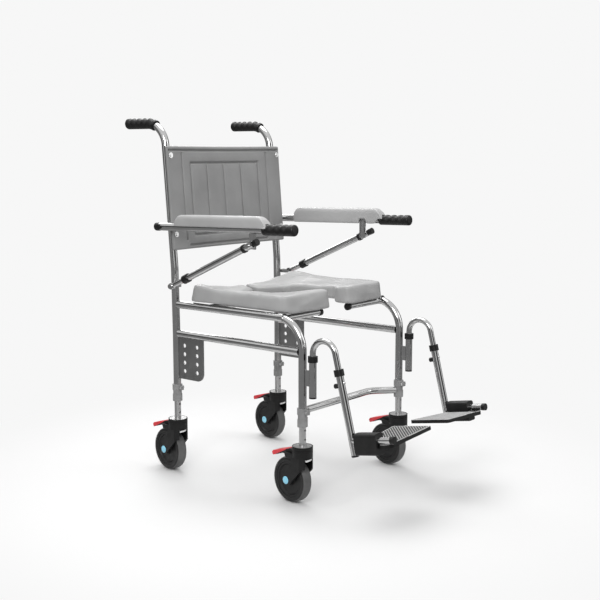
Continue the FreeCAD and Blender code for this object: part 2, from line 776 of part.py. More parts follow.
def inner_leg(leg):
    """Telescopic leg tube with its row of locking holes and the castor's top plate."""
    top = dim("castor_top")
    tube = rod("Dims.leg_tube / 2", "Dims.leg_top_height - Dims.castor_top + 2.2", Z * (top - 2.2))
    disc = rod("25", "2", Z * (top - 2.2))
    bore = rod("Dims.leg_bore / 2", "Dims.leg_top_height", Z * (top - 5))
    holes = [rod("2.8", "15", Vector(0, 0, height), -Y) for height in (180.0, 205.0, 230.0)]
    piece = cut(fused(tube, disc), bore, *holes)
    piece.Placement = Placement(leg_points()[leg], Rotation())
    return piece


def fork_arms():
    """Diagonal arms from the housing down to the hub, with cheeks beside the pedal."""
    body = doc.addObject("PartDesign::Body", "ForkArms")
    sketch = sketch_on(body, "YZ_Plane")
    arm = [(-24, 150), (-24, 106), (26, 54), (43, 46.5), (54, 54), (51, 71), (20, 110)]
    cheek = [(20, 126), (42, 128), (47, 140), (38, 149)]
    draw(sketch, arm + cheek, [0, 14, 12, 10, 9, 12, 8, 3, 5, 5, 2])
    padded(body, sketch, "Dims.fork_width", midplane=True)
    envelope = fused(
        rod("Dims.housing_diameter / 2", "120", Z * 40),
        block(("Dims.fork_width", "60", "100"), Vector(-dim("fork_width") / 2, 0, 40)),
    )
    trimmed = doc.addObject("Part::MultiCommon", "Trimmed")
    trimmed.Shapes = [body, envelope]
    gap = dim("fork_gap")
    return cut(trimmed, block(("Dims.fork_gap", "120", "92"), Vector(-gap / 2, -60, 40)))


def housing_groove(height, depth):
    """Ring that cuts a groove round the housing at a depth under its top."""
    start = Z * (dim("castor_top") - depth)
    return ring("Dims.housing_diameter / 2 + 1", "Dims.housing_diameter / 2 - 1.2", height, start)


def castor_fork(leg):
    """Swivel housing, front skirt with an arched opening, fork arms, stem, axle and pedal pin."""
    top = dim("castor_top")
    housing = rod("Dims.housing_diameter / 2", "30", Z * (top - 30))
    skirt = cut(
        ring("Dims.housing_diameter / 2", "22.3", "31", Z * 102),
        block(("80", "60", "40"), Vector(-40, -12, 95)),
        block(("28", "20", "31"), Vector(-14, -35, 99)),
    )
    shell = cut(
        fused(housing, skirt, fork_arms()),
        rod("25.6", "5", Z * (top - 2.6)),
        block(("34", "60", "24"), Vector(-17, 6.5, 131)),
        housing_groove("1", 5.5),
        housing_groove("2", 11.5),
    )
    stem = rod("Dims.leg_bore / 2 - 0.08", "60", Z * (top - 10))
    axle = rod("Dims.axle / 2", "Dims.fork_width", hub_centre() - X * (dim("fork_width") / 2), X)
    pin = rod("3", "40", PEDAL_HINGE - X * 20, X)
    piece = fused(shell, stem, axle, pin)
    piece.Placement = castor_place(leg)
    return piece


def wheel_part(leg, points, radii):
    """Part of a wheel, turned about its axle and set at the hub."""
    piece = turned(points, radii)
    place = castor_place(leg)
    piece.Placement = Placement(place.multVec(hub_centre()), place.Rotation)
    return piece


def wheel_rim(leg):
    """Black rim: hub barrel, recessed web and outer band."""
    bore, rim = dim("axle") / 2 + 0.08, dim("rim_diameter") / 2
    half = [(17, bore), (17, 15), (8, 17), (8, 40), (13, 43), (13, rim)]
    other = [(-across, radius) for across, radius in reversed(half)]
    return wheel_part(leg, half + other, [0, 1, 2, 3, 1, 0] + [0, 1, 3, 2, 1, 0])


def tyre(leg):
    """Rounded grey tread bonded to the rim."""
    inner, outer, half = dim("rim_diameter") / 2, dim("wheel_diameter") / 2, dim("tread_width") / 2
    outline = [(half - 2, inner), (half, inner + 1.5), (half, outer), (-half, outer), (-half, inner + 1.5),
               (2 - half, inner)]
    return wheel_part(leg, outline, [0, 0, 9, 9, 0, 0])


def brake_pedal(leg):
    """Foot-operated lock that hinges in the housing and reaches out over the wheel."""
    body = doc.addObject("PartDesign::Body", "BrakePedal")
    sketch = sketch_on(body, "YZ_Plane")
    upper = [(8, 134.6), (8, 147.4), (30, 151), (100, 131.5), (104, 127)]
    lower = [(101, 120), (84, 124.5), (62, 132.5), (38, 134)]
    draw(sketch, upper + lower, [6, 6, 8, 3, 2, 3, 8, 10, 10])
    circle(sketch, PEDAL_HINGE.y, PEDAL_HINGE.z, "6.16")
    padded(body, sketch, "33", midplane=True)
    body.Placement = castor_place(leg)
    return body


# ---------------------------------------------------------------- assembly

def build():
    for side in SIDES:
        keep(f"rear_post_{side}", rear_post(side))
        keep(f"side_rail_{side}", side_rail(side))
        keep(f"seat_pad_{side}", seat_pad(side))
    keep("cross_rails", cross_rails())
    keep("seat_supports", seat_supports())
    keep("wheel_plates", group(*[wheel_plate(side) for side in SIDES]))
    keep("footrest_receivers", footrest_receivers())
    keep("leg_sleeves", leg_sleeves())
    keep("frame_screws", frame_screws())
    keep("frame_caps", frame_caps())
    keep("push_grips", push_grips())
    keep("backrest_panel", backrest_panel())
    keep("arm_brackets", arm_brackets())
    for side in SIDES:
        for make in (arm_tube, arm_grips, arm_pad, strut_tube, strut_collars, strut_rod, strut_button,
                     hanger_tube, footrest_tube, footrest_clamp, plate_clamp, footplate):
            keep(f"{make.__name__}_{side}", make(side))
    for leg in leg_points():
        for make in (inner_leg, castor_fork, wheel_rim, tyre, brake_pedal):
            keep(f"{make.__name__}_{leg}", make(leg))


def check():
    """Stops on any failed feature and any empty or invalid sub-part."""
    failed = [thing.Label for thing in doc.Objects if {"Invalid", "Error"} & set(thing.State)]
    failed += [node.Label for node in nodes if node.Shape.isNull() or not node.Shape.isValid()]
    if failed:
        raise RuntimeError(f"failed: {failed}")


build()
doc.recompute()
check()
os.makedirs("parts", exist_ok=True)
for node in nodes:
    node.Shape.exportStep(f"parts/{node.Label}.step")
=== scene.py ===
import math

import bmesh
import bpy
from mathutils import Matrix, Vector
from mathutils.bvhtree import BVHTree


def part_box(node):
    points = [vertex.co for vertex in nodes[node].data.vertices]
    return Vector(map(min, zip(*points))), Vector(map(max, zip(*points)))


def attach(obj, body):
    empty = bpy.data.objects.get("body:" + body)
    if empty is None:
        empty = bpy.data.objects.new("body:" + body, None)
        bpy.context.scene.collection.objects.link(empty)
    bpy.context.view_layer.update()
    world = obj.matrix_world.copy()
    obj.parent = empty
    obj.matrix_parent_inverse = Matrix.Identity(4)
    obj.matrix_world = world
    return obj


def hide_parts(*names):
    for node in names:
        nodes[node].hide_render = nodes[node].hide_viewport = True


# Looks of the wheeled commode chair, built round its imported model.
# Metres. +Z is up, the occupant faces -Y and +X is the occupant's left.

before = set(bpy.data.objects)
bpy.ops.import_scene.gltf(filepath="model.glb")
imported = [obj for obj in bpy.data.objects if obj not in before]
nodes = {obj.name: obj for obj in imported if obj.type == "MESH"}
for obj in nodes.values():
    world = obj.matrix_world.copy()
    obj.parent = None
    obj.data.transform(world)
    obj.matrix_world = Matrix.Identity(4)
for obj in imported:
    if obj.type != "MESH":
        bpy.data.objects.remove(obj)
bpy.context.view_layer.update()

MM = 0.001
X, Z = Vector((1, 0, 0)), Vector((0, 0, 1))
SIDES = {"left": 1, "right": -1}
LEGS = ("front_left", "front_right", "rear_left", "rear_right")

# The chair's own places, in millimetres, and its slopes.
HALF_TRACK = 227  # from the middle plane to a leg's axis
LEG_Y = {"front": -182.9, "rear": 290.7}
CASTOR_YAW = math.radians(-7.9)
HANGER_LEAN = math.radians(14.4)
POST_Y, POST_BEND = 293.9, 605  # the rear posts lean back above this height
BACK_LEAN = math.radians(4.74)
BACK_UP = Vector((0, math.sin(BACK_LEAN), math.cos(BACK_LEAN)))
BACK_AHEAD = Vector((0, -math.cos(BACK_LEAN), math.sin(BACK_LEAN)))
ARM_RISE = math.radians(1.34)
ARM_AXIS = Vector((0, -math.cos(ARM_RISE), math.sin(ARM_RISE)))
ARM_ABOVE = Vector((0, ARM_AXIS.z, -ARM_AXIS.y))


def post_y(height):
    """Where the axis of a leaning rear post is at a height."""
    return POST_Y + (height - POST_BEND) * math.tan(BACK_LEAN)


ARM_HINGE = {side: Vector((sign * 265, post_y(727), 727)) * MM for side, sign in SIDES.items()}


# ---------------------------------------------------------------- materials

MIDDLE_SPAN = (0.3, 0.7)  # the part of a noise texture's 0 to 1 that the looks are spread over


class Recipe:
    """One node material, built up layer by layer on its Principled shader."""

    def __init__(self, name, roughness, metallic=0.0, specular=0.5):
        self.material = bpy.data.materials.new(name)
        self.material.use_nodes = True
        self.tree = self.material.node_tree
        self.shader = self.tree.nodes["Principled BSDF"]
        self.shader.inputs["Roughness"].default_value = roughness
        self.shader.inputs["Metallic"].default_value = metallic
        self.shader.inputs["Specular IOR Level"].default_value = specular
        self.place = self.node("ShaderNodeTexCoord").outputs["Object"]
        self.normal = None

    def node(self, kind, **inputs):
        """New shader node with some of its inputs set."""
        made = self.tree.nodes.new(kind)
        for socket, value in inputs.items():
            made.inputs[socket].default_value = value
        return made

    def link(self, source, target):
        """Joins an output to an input."""
        self.tree.links.new(source, target)

    def stretched(self, stretch):
        """The piece's own coordinates, scaled differently along each axis."""
        mapping = self.node("ShaderNodeMapping", Scale=stretch)
        self.link(self.place, mapping.inputs["Vector"])
        return mapping.outputs["Vector"]

    def noise(self, size, detail=4.0, stretch=(1, 1, 1)):
        """Noise from 0 to 1 whose blotches are about size metres across."""
        pattern = self.node("ShaderNodeTexNoise", Scale=1 / size, Detail=detail)
        self.link(self.stretched(stretch), pattern.inputs["Vector"])
        return pattern.outputs["Fac"]

    def cells(self, size):
        """Leather-like cells about size metres across, 0 at their centres."""
        pattern = self.node("ShaderNodeTexVoronoi", Scale=1 / size)
        self.link(self.place, pattern.inputs["Vector"])
        return pattern.outputs["Distance"]

    def ranged(self, value, low, high):
        """The middle span of a noise value, spread onto low..high."""
        spread = self.node("ShaderNodeMapRange")
        for socket, number in zip(("From Min", "From Max", "To Min", "To Max"), (*MIDDLE_SPAN, low, high)):
            spread.inputs[socket].default_value = number
        self.link(value, spread.inputs["Value"])
        return spread.outputs["Result"]

    def colours(self, value, dark, light):
        """Base colour that runs from dark to light with a noise value."""
        ramp = self.node("ShaderNodeValToRGB")
        for element, position, colour in zip(ramp.color_ramp.elements, MIDDLE_SPAN, (dark, light)):
            element.position, element.color = position, (*colour, 1)
        self.link(value, ramp.inputs["Fac"])
        self.link(ramp.outputs["Color"], self.shader.inputs["Base Color"])

    def rough(self, value, low, high):
        """Roughness that runs from low to high with a noise value."""
        self.link(self.ranged(value, low, high), self.shader.inputs["Roughness"])

    def bump(self, value, depth, strength=1.0):
        """Adds relief of the given depth in metres on top of earlier relief."""
        relief = self.node("ShaderNodeBump", Distance=depth, Strength=strength)
        self.link(value, relief.inputs["Height"])
        if self.normal:
            self.link(self.normal, relief.inputs["Normal"])
        self.normal = relief.outputs["Normal"]
        self.link(self.normal, self.shader.inputs["Normal"])


def grey(value):
    """Grey as a linear colour."""
    return (value, value, value)


def polished_steel(name, tone, low, high):
    """Drawn stainless tube: bright, faintly smudged, with fine polishing marks."""
    steel = Recipe(name, low, metallic=1.0)
    steel.colours(steel.noise(0.06), grey(tone * 0.86), grey(tone))
    steel.rough(steel.noise(0.012, stretch=(1, 1, 0.25)), low, high)
    steel.bump(steel.noise(0.0006, detail=2.0, stretch=(1, 1, 0.15)), 0.00002, 0.35)
    return steel.material


def grained_plastic(name, dark, light, roughness, grain=0.0009, depth=0.00006, specular=0.5):
    """Moulded plastic or rubber with a spark-eroded grain and faint tone changes."""
    plastic = Recipe(name, roughness, specular=specular)
    plastic.colours(plastic.noise(0.02), dark, light)
    plastic.rough(plastic.noise(0.008), roughness * 0.85, roughness * 1.2)
    plastic.bump(plastic.noise(grain, detail=3.0), depth, 0.6)
    return plastic.material


def skinned_foam(name, dark, light, roughness):
    """Integral-skin foam: soft sheen over a fine leather-like moulded grain."""
    foam = Recipe(name, roughness, specular=0.45)
    foam.colours(foam.noise(0.09, detail=6.0), dark, light)
    foam.rough(foam.noise(0.015), roughness * 0.88, roughness * 1.15)
    foam.bump(foam.cells(0.0016), 0.00007, 0.5)
    foam.bump(foam.noise(0.0007, detail=2.0), 0.00004, 0.5)
    return foam.material


MATERIALS = {
    "stainless_tube": polished_steel("PolishedTube", 0.55, 0.08, 0.18),
    "satin_tube": polished_steel("SatinTube", 0.56, 0.26, 0.38),
    "brushed_plate": polished_steel("BrushedPlate", 0.30, 0.34, 0.50),
    "screw_steel": polished_steel("ZincScrew", 0.72, 0.18, 0.30),
    "grip_rubber": grained_plastic("GripRubber", grey(0.006), grey(0.012), 0.40, grain=0.0006, depth=0.00005,
                                   specular=0.3),
    "tread": grained_plastic("TreadRubber", grey(0.075), grey(0.105), 0.55, grain=0.0005, specular=0.3),
    "castor_plastic": grained_plastic("CastorNylon", grey(0.005), grey(0.010), 0.45, grain=0.0007,
                                      specular=0.25),
    "disc_plastic": grained_plastic("WheelDisc", grey(0.010), grey(0.018), 0.45, grain=0.0007, specular=0.25),
    # Light grey of the bar in a castor housing's mouth: painted light, standing in for the bright backdrop
    # seen through a slot.
    "backdrop_glimpse_light": grained_plastic("PaintedBackdropLight", grey(0.62), grey(0.72), 0.35),
    "pedal_red": grained_plastic("PedalRed", (0.55, 0.02, 0.03), (0.68, 0.04, 0.05), 0.35),
    "hub_blue": grained_plastic("HubCapBlue", (0.22, 0.55, 0.72), (0.28, 0.62, 0.78), 0.35),
    "sleeve_plastic": grained_plastic("SleevePlastic", grey(0.20), grey(0.27), 0.48),
    "black_plastic": grained_plastic("BlackPlastic", grey(0.006), grey(0.012), 0.34, specular=0.3),
    "plate_plastic": grained_plastic("PlatePlastic", grey(0.006), grey(0.012), 0.42, specular=0.25),
    # Light grey of the footplate ribs: painted highlight on the ribs' worn edges.
    "rib_highlight": grained_plastic("RibHighlight", grey(0.34), grey(0.44), 0.45),
    "bead_plastic": grained_plastic("PlateBead", grey(0.62), grey(0.72), 0.42),
    "sidewall": grained_plastic("TyreSidewall", grey(0.008), grey(0.014), 0.42, grain=0.0005, specular=0.35),
    "pad_foam": skinned_foam("SeatFoam", grey(0.32), grey(0.37), 0.42),
    "arm_foam": skinned_foam("ArmFoam", grey(0.33), grey(0.38), 0.42),
    "back_foam": skinned_foam("BackFoam", grey(0.21), grey(0.25), 0.46),
}


def wear(holder, material):
    """Gives a piece its only material."""
    holder.data.materials.clear()
    holder.data.materials.append(MATERIALS[material])


# ---------------------------------------------------------------- carried-over pieces

CARRIED = {
    "stainless_tube": (
        "rear_post_left", "rear_post_right", "side_rail_left", "side_rail_right", "cross_rails",
        "seat_supports", "footrest_receivers", "arm_tube_left", "arm_tube_right", "strut_tube_left",
        "strut_tube_right", "strut_rod_left", "strut_rod_right", "hanger_tube_left", "hanger_tube_right",
        "footrest_tube_left", "footrest_tube_right", "arm_brackets",
    ),
    "satin_tube": tuple(f"inner_leg_{leg}" for leg in LEGS),
    "brushed_plate": ("wheel_plates",),
    "screw_steel": ("frame_screws",),
    "sleeve_plastic": ("leg_sleeves",),
    "black_plastic": (
        "frame_caps", "strut_collars_left", "strut_collars_right", "strut_button_left", "strut_button_right",
        "footrest_clamp_left", "footrest_clamp_right", "plate_clamp_left", "plate_clamp_right",
    ),
    "castor_plastic": tuple(f"{kind}_{leg}" for kind in ("castor_fork", "brake_pedal") for leg in LEGS),
    "disc_plastic": tuple(f"wheel_rim_{leg}" for leg in LEGS),
    "tread": tuple(f"tyre_{leg}" for leg in LEGS),
    "grip_rubber": ("push_grips", "arm_grips_left", "arm_grips_right"),
    "plate_plastic": ("footplate_left", "footplate_right"),
    "pad_foam": ("seat_pad_left", "seat_pad_right", "arm_pad_left", "arm_pad_right"),
    "back_foam": ("backrest_panel",),
}
for finish, names in CARRIED.items():
    for name in names:
        wear(nodes[name], finish)


# ---------------------------------------------------------------- building pieces

RING_SEGMENTS = 72


def mesh_from(bm, name="Working"):
    """Mesh with outward normals from a bmesh, which it uses up."""
    bmesh.ops.recalc_face_normals(bm, faces=bm.faces)
    mesh = bpy.data.meshes.new(name)
    bm.to_mesh(mesh)
    bm.free()
    return mesh


def piece(name, bm, material, body, replaces=()):
    """Turns a bmesh in world metres into a finished piece that rides on a body."""
    mesh = mesh_from(bm, name)
    mesh.shade_smooth()
    mesh.set_sharp_from_angle(angle=math.radians(38))
    made = bpy.data.objects.new(name, mesh)
    bpy.context.scene.collection.objects.link(made)
    wear(made, material)
    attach(made, body)
    if replaces:
        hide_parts(*replaces)
    return made


def bridge(bm, rows):
    """Faces between each closed row of vertices and the next."""
    for row, following in zip(rows, rows[1:]):
        for index in range(len(row)):
            after = (index + 1) % len(row)
            bm.faces.new((row[index], row[after], following[after], following[index]))


def skin(bm, rings, close_ends=True):
    """Skins a row of closed rings of equal length, capping the first and last."""
    rows = [[bm.verts.new(point) for point in ring] for ring in rings]
    bridge(bm, rows)
    if close_ends:
        bm.faces.new(reversed(rows[0]))
        bm.faces.new(rows[-1])
    return rows


def lathe(bm, centre, axis, profile, segments=40):
    """Solid turned about an axis from (radius, distance along the axis) pairs in millimetres."""
    across = axis.orthogonal().normalized()
    beside = axis.cross(across)
    turns = [2 * math.pi * step / segments for step in range(segments)]
    rings = [
        [centre + (across * math.cos(turn) + beside * math.sin(turn)) * radius * MM + axis * along * MM
         for turn in turns]
        for radius, along in profile
    ]
    skin(bm, rings)


def ring_lathe(bm, centre, axis, profile):
    """Ring turned about an axis from a closed profile of (radius, distance along the axis) pairs."""
    across = axis.orthogonal().normalized()
    beside = axis.cross(across)
    rows = []
    for step in range(RING_SEGMENTS):
        turn = 2 * math.pi * step / RING_SEGMENTS
        spoke = across * math.cos(turn) + beside * math.sin(turn)
        places = [centre + (spoke * radius + axis * along) * MM for radius, along in profile]
        rows.append([bm.verts.new(place) for place in places])
    bridge(bm, rows + rows[:1])


def rounded(corners, radii, steps=5):
    """Outline whose corners are replaced by arcs."""
    outline = []
    for index, (corner, radius) in enumerate(zip(corners, radii)):
        before, after = corners[index - 1], corners[(index + 1) % len(corners)]
        back, ahead = (before - corner).normalized(), (after - corner).normalized()
        half = back.angle(ahead) / 2
        reach = radius / math.tan(half)
        start, end = corner + back * reach, corner + ahead * reach
        for step in range(steps + 1):
            part = step / steps
            outline.append(start.lerp(corner, part).lerp(corner.lerp(end, part), part))
    return outline


def smoothstep(low, high, value):
    """Smooth step from 0 to 1; with low above high it falls instead of rising."""
    part = min(1.0, max(0.0, (value - low) / (high - low)))
    return part * part * (3 - 2 * part)


def dome(distance, radius):
    """Height of a rounded edge of a radius at a distance in from its rim."""
    inside = min(distance, radius)
    return math.sqrt(max(0.0, radius ** 2 - (radius - inside) ** 2))


# ---------------------------------------------------------------- soft pieces

CLOTH_FRAMES = 20


def baked(holder):
    """Mesh of an object with its modifiers applied."""
    bpy.context.view_layer.update()
    seen = holder.evaluated_get(bpy.context.evaluated_depsgraph_get())
    return bpy.data.meshes.new_from_object(seen)


def loose(mesh):
    """Temporary object that carries a mesh through its modifiers."""
    holder = bpy.data.objects.new("Working", mesh)
    bpy.context.scene.collection.objects.link(holder)
    return holder


def discard(holder):
    """Removes a temporary object."""
    bpy.data.objects.remove(holder, do_unlink=True)


def even_skin(mesh, voxel):
    """Even quad skin over a closed mesh."""
    holder = loose(mesh)
    remesh = holder.modifiers.new("Even", "REMESH")
    remesh.mode, remesh.voxel_size = "VOXEL", voxel
    result = baked(holder)
    discard(holder)
    return result


def swollen(mesh, pins, start_inset, cap):
    """Cloth skin blown up from a slightly smaller start; pins holds one weight per point."""
    full = [vertex.co.copy() for vertex in mesh.vertices]
    normals = [vertex.normal.copy() for vertex in mesh.vertices]
    for vertex, pin, normal in zip(mesh.vertices, pins, normals):
        vertex.co -= normal * start_inset * (1 - pin)
    holder = loose(mesh)
    group = holder.vertex_groups.new(name="Pinned")
    for index, pin in enumerate(pins):
        group.add([index], pin, "REPLACE")
    cloth = holder.modifiers.new("Cloth", "CLOTH")
    cloth.settings.use_pressure = True
    cloth.settings.uniform_pressure_force = 4.0
    cloth.settings.vertex_group_mass = "Pinned"
    cloth.settings.effector_weights.gravity = 0
    cloth.collision_settings.use_collision = False
    for step in range(1, CLOTH_FRAMES + 1):
        bpy.context.scene.frame_set(step)
    result = baked(holder)
    bpy.context.scene.frame_set(1)
    discard(holder)
    for vertex, start, pin in zip(result.vertices, full, pins):
        move = vertex.co - start
        limit = cap * (1 - pin)
        if move.length > limit:
            vertex.co = start + move.normalized() * limit
    return result


def subdivided(mesh, levels, relax=2):
    """Mesh smoothed by subdivision, and evened out where the cloth left ripples."""
    holder = loose(mesh)
    even = holder.modifiers.new("Relax", "SMOOTH")
    even.factor, even.iterations = 0.5, relax
    smooth = holder.modifiers.new("Smooth", "SUBSURF")
    smooth.levels = smooth.render_levels = levels
    result = baked(holder)
    discard(holder)
    return result


def soft_piece(name, mesh, material, body, node):
    """Finished padded piece that stands for a CAD pad."""
    bm = bmesh.new()
    bm.from_mesh(mesh)
    piece(name, bm, material, body, (node,))


def world_mesh(node):
    """World-space copy of a CAD node's mesh."""
    mesh = nodes[node].data.copy()
    mesh.transform(nodes[node].matrix_world)
    return mesh


def faces_tree(mesh, wanted):
    """Search tree over the faces whose normals pass a test."""
    points = [vertex.co for vertex in mesh.vertices]
    return BVHTree.FromPolygons(points, [face.vertices[:] for face in mesh.polygons if wanted(face.normal)])


def rounded_corner(depth, drop, radius):
    """Moves a point of a square edge onto a round one; depth and drop are measured from its faces."""
    if depth >= radius or drop >= radius:
        return depth, drop
    across, up = radius - depth, radius - drop
    scale = max(across, up) / math.hypot(across, up)
    return radius - across * scale, radius - up * scale


def seat_crown(x, y):
    """Rise of the outer rim and fall towards the rear seam, over the plain dished top."""
    across = abs(x)
    ridge = 9 + 5 * smoothstep(0.235, 0.150, y)
    rim = ridge * smoothstep(0.165, 0.232, across) * smoothstep(-0.150, 0.040, y)
    dip = 15 * smoothstep(0.225, 0.030, across) * smoothstep(0.060, 0.200, y)
    corner = 2 * smoothstep(0.120, 0.232, across) * (1 - smoothstep(-0.130, -0.040, y))
    return (rim - dip - corner) * MM


def seat_lean(wall):
    """How far the top of an outer wall leans inward: most at the rear end, none round the opening."""
    beside = 6 * smoothstep(0.190, 0.240, abs(wall.x))
    behind = 15 * smoothstep(0.190, 0.240, wall.y) * smoothstep(0.020, 0.080, abs(wall.x))
    ahead = 6 * (1 - smoothstep(-0.140, -0.090, wall.y))
    return max(beside, behind, ahead) * MM


def seat_cushion(side):
    """Half of the seat: rounded rim, hollow for the thighs and a dip at the rear seam."""
    node = f"seat_pad_{side}"
    cad = world_mesh(node)
    low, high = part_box(node)
    walls = faces_tree(cad, lambda normal: abs(normal.z) < 0.3)
    tops = faces_tree(cad, lambda normal: normal.z > 0.5)
    mesh = even_skin(cad, 5 * MM)
    halfway = low.z + 12 * MM
    top_radius, bottom_radius = 8 * MM, 4 * MM
    for vertex in mesh.vertices:
        x, y, z = vertex.co
        wall, outward, _, _ = walls.find_nearest(Vector((x, y, halfway)))
        inward = -Vector((outward.x, outward.y, 0)).normalized()
        depth = max(0.0, (Vector((x, y, halfway)) - wall).dot(inward))
        probe = Vector((x, y, high.z + 0.1)) + inward * max(0.0, 4 * MM - depth)
        hit = tops.ray_cast(probe, -Z)[0]
        top = hit.z if hit else z
        new_depth, drop = rounded_corner(depth, max(0.0, top - z), top_radius)
        z = min(z, top - drop)
        new_depth, rise = rounded_corner(new_depth, max(0.0, z - low.z), bottom_radius)
        z = max(z, low.z + rise)
        share = (z - low.z) / (top - low.z)
        lean = seat_lean(wall) * share * (1 - smoothstep(0, 50 * MM, depth))
        z = low.z + share * (top + seat_crown(x, y) - low.z)
        vertex.co = Vector((x, y, z)) + inward * (new_depth - depth + lean)
    mesh.update()
    pins = [
        1.0 if vertex.normal.z < -0.5 else 1 - smoothstep(low.z + 4 * MM, low.z + 18 * MM, vertex.co.z)
        for vertex in mesh.vertices
    ]
    mesh = subdivided(swollen(mesh, pins, 1.2 * MM, 1.2 * MM), 1, relax=8)
    soft_piece(f"seat_cushion_{side}", mesh, "pad_foam", "frame", node)


PAD_REAR, PAD_FRONT = 60, 405  # along an armrest's axis from its hinge
UPRIGHT = 333  # where the strut's upright meets the armrest


def arm_point(side, along, aside, up):
    """Point beside an armrest tube: millimetres from the hinge, inward of the axis and above it."""
    across = X * -SIDES[side]
    return ARM_HINGE[side] + ARM_AXIS * along * MM + across * aside * MM + ARM_ABOVE * up * MM


def arm_pad_station(part, up):
    """Distance from the hinge of a point of the sloping section at part, 0 to 1, of the arm pad."""
    rise = max(up, 2.0) - 2
    rear, front = PAD_REAR + rise * 10 / 32, PAD_FRONT - rise * 22 / 34
    return rear + (front - rear) * part


def skirt_bottom(part):
    """Height of the inner skirt's lower edge: it stops at the strut's upright and at the hand grip."""
    along = arm_pad_station(part, 0)
    clear_of_upright = smoothstep(11.5, 14, abs(along - UPRIGHT))
    clear_of_rear = smoothstep(PAD_REAR, PAD_REAR + 3, along)
    return 2.8 - 14.4 * clear_of_upright * clear_of_rear * (1 - smoothstep(380, 385, along))


def arm_pad_ring(side, part):
    """One section of the arm pad, straddling its tube; part runs 0..1 from rear to front."""
    shrink = 11 - dome(min(part, 1 - part) * 340, 11)
    outline = []
    for step in range(15):
        turn = math.pi * step / 14
        outline.append((2 - 15.6 * math.copysign(abs(math.cos(turn)) ** 0.45, math.cos(turn)),
                        11 + (24.8 - shrink) * math.sin(turn) ** 0.62))
    edge, bottom = 19 - shrink * 0.3, skirt_bottom(part)
    outline = [(shrink * 0.3 - 15, 2.6)] + outline
    outline += [(edge, bottom + 1.4), (edge - 1.2, bottom), (13, bottom), (12, bottom + 1.2)]
    for step in range(11):
        turn = math.pi * step / 10
        past_mouth = arm_pad_station(part, 12 * math.sin(turn)) > 387.5
        room = 16.2 if past_mouth else 11.6
        outline.append((room * math.cos(turn), max(2.4, room * math.sin(turn))))
    return [arm_point(side, arm_pad_station(part, up), aside, up) for aside, up in outline]


def arm_cushion(side):
    """Moulded pad on the armrest, with rounded shoulders, sloped ends and an inner skirt."""
    ends = [0, 0.003, 0.009, 0.018, 0.032]
    upright = [
        (UPRIGHT + offset - PAD_REAR) / (PAD_FRONT - PAD_REAR)
        for offset in (-14.5, -12.5, -11, 11, 12.5, 14.5)
    ]
    spaced = [0.05 + 0.9 * step / 50 for step in range(51)]
    parts = sorted(ends + upright + spaced + [1 - part for part in ends])
    bm = bmesh.new()
    skin(bm, [arm_pad_ring(side, part) for part in parts])
    mesh = mesh_from(bm)
    heights = [(vertex.co - ARM_HINGE[side]).dot(ARM_ABOVE) for vertex in mesh.vertices]
    pins = [1 - smoothstep(18 * MM, 26 * MM, height) for height in heights]
    mesh = subdivided(swollen(mesh, pins, 1 * MM, 2.5 * MM), 2)
    soft_piece(f"arm_cushion_{side}", mesh, "arm_foam", f"armrest_{side}", f"arm_pad_{side}")


# The backrest is drawn flat: u runs across it and v up it, in millimetres, then bowed onto the posts.

BACK_HALF, BACK_HEIGHT, BACK_THICKNESS, BACK_CORNER = 245.0, 298.0, 11.0, 4.5
GROOVE_REACH, GROOVE_DEPTH = 5.2, 5.2
BACK_LINES = (
    [((sign * 184, 27), (sign * 184, 277)) for sign in (-1, 1)]
    + [((u, 40), (u, 249)) for u in (-147, -74, 0, 74, 147)]
    + [((-147, 249), (147, 249)), ((-147, 40), (147, 40)), ((-170, 11), (170, 11)), ((-236, 285), (236, 285))]
)


def back_bow(u):
    """How far the panel hangs back between the posts."""
    flat, depth = 208.0, 14.0
    radius = (flat ** 2 + depth ** 2) / (2 * depth)
    return depth - radius + math.sqrt(radius ** 2 - min(abs(u), flat) ** 2)


def back_point(u, v, forward):
    """Point of the backrest, forward of its rear face."""
    foot = Vector((0, post_y(657), 657))
    return (foot + X * u + BACK_UP * v + BACK_AHEAD * (11.4 + forward - back_bow(u))) * MM


def line_distance(u, v):
    """Distance from a point of the backrest to its nearest moulded line."""
    nearest = math.inf
    for (start_u, start_v), (end_u, end_v) in BACK_LINES:
        length_u, length_v = end_u - start_u, end_v - start_v
        part = ((u - start_u) * length_u + (v - start_v) * length_v) / (length_u ** 2 + length_v ** 2)
        part = min(1.0, max(0.0, part))
        nearest = min(nearest, math.hypot(u - start_u - length_u * part, v - start_v - length_v * part))
    return nearest


def graded(low, high, step):
    """Positions from low to high, crowded at both ends."""
    ends = (0.0, 0.6, 1.8, 3.6)
    count = round((high - low - 12) / step)
    inner = [low + 6 + (high - low - 12) * index / count for index in range(count + 1)]
    return [low + end for end in ends] + inner + [high - end for end in reversed(ends)]


def back_flat(u, v):
    """Point of the square grid drawn in to the rounded corners, with its distance from the rim."""
    across, up = BACK_HALF - abs(u), min(v, BACK_HEIGHT - v)
    if across < BACK_CORNER and up < BACK_CORNER:
        new_across, new_up = rounded_corner(across, up, BACK_CORNER)
        rim = BACK_CORNER - math.hypot(BACK_CORNER - new_across, BACK_CORNER - new_up)
        u = math.copysign(BACK_HALF - new_across, u)
        v = new_up if v < BACK_HEIGHT / 2 else BACK_HEIGHT - new_up
        return u, v, max(0.0, rim)
    return u, v, min(across, up)


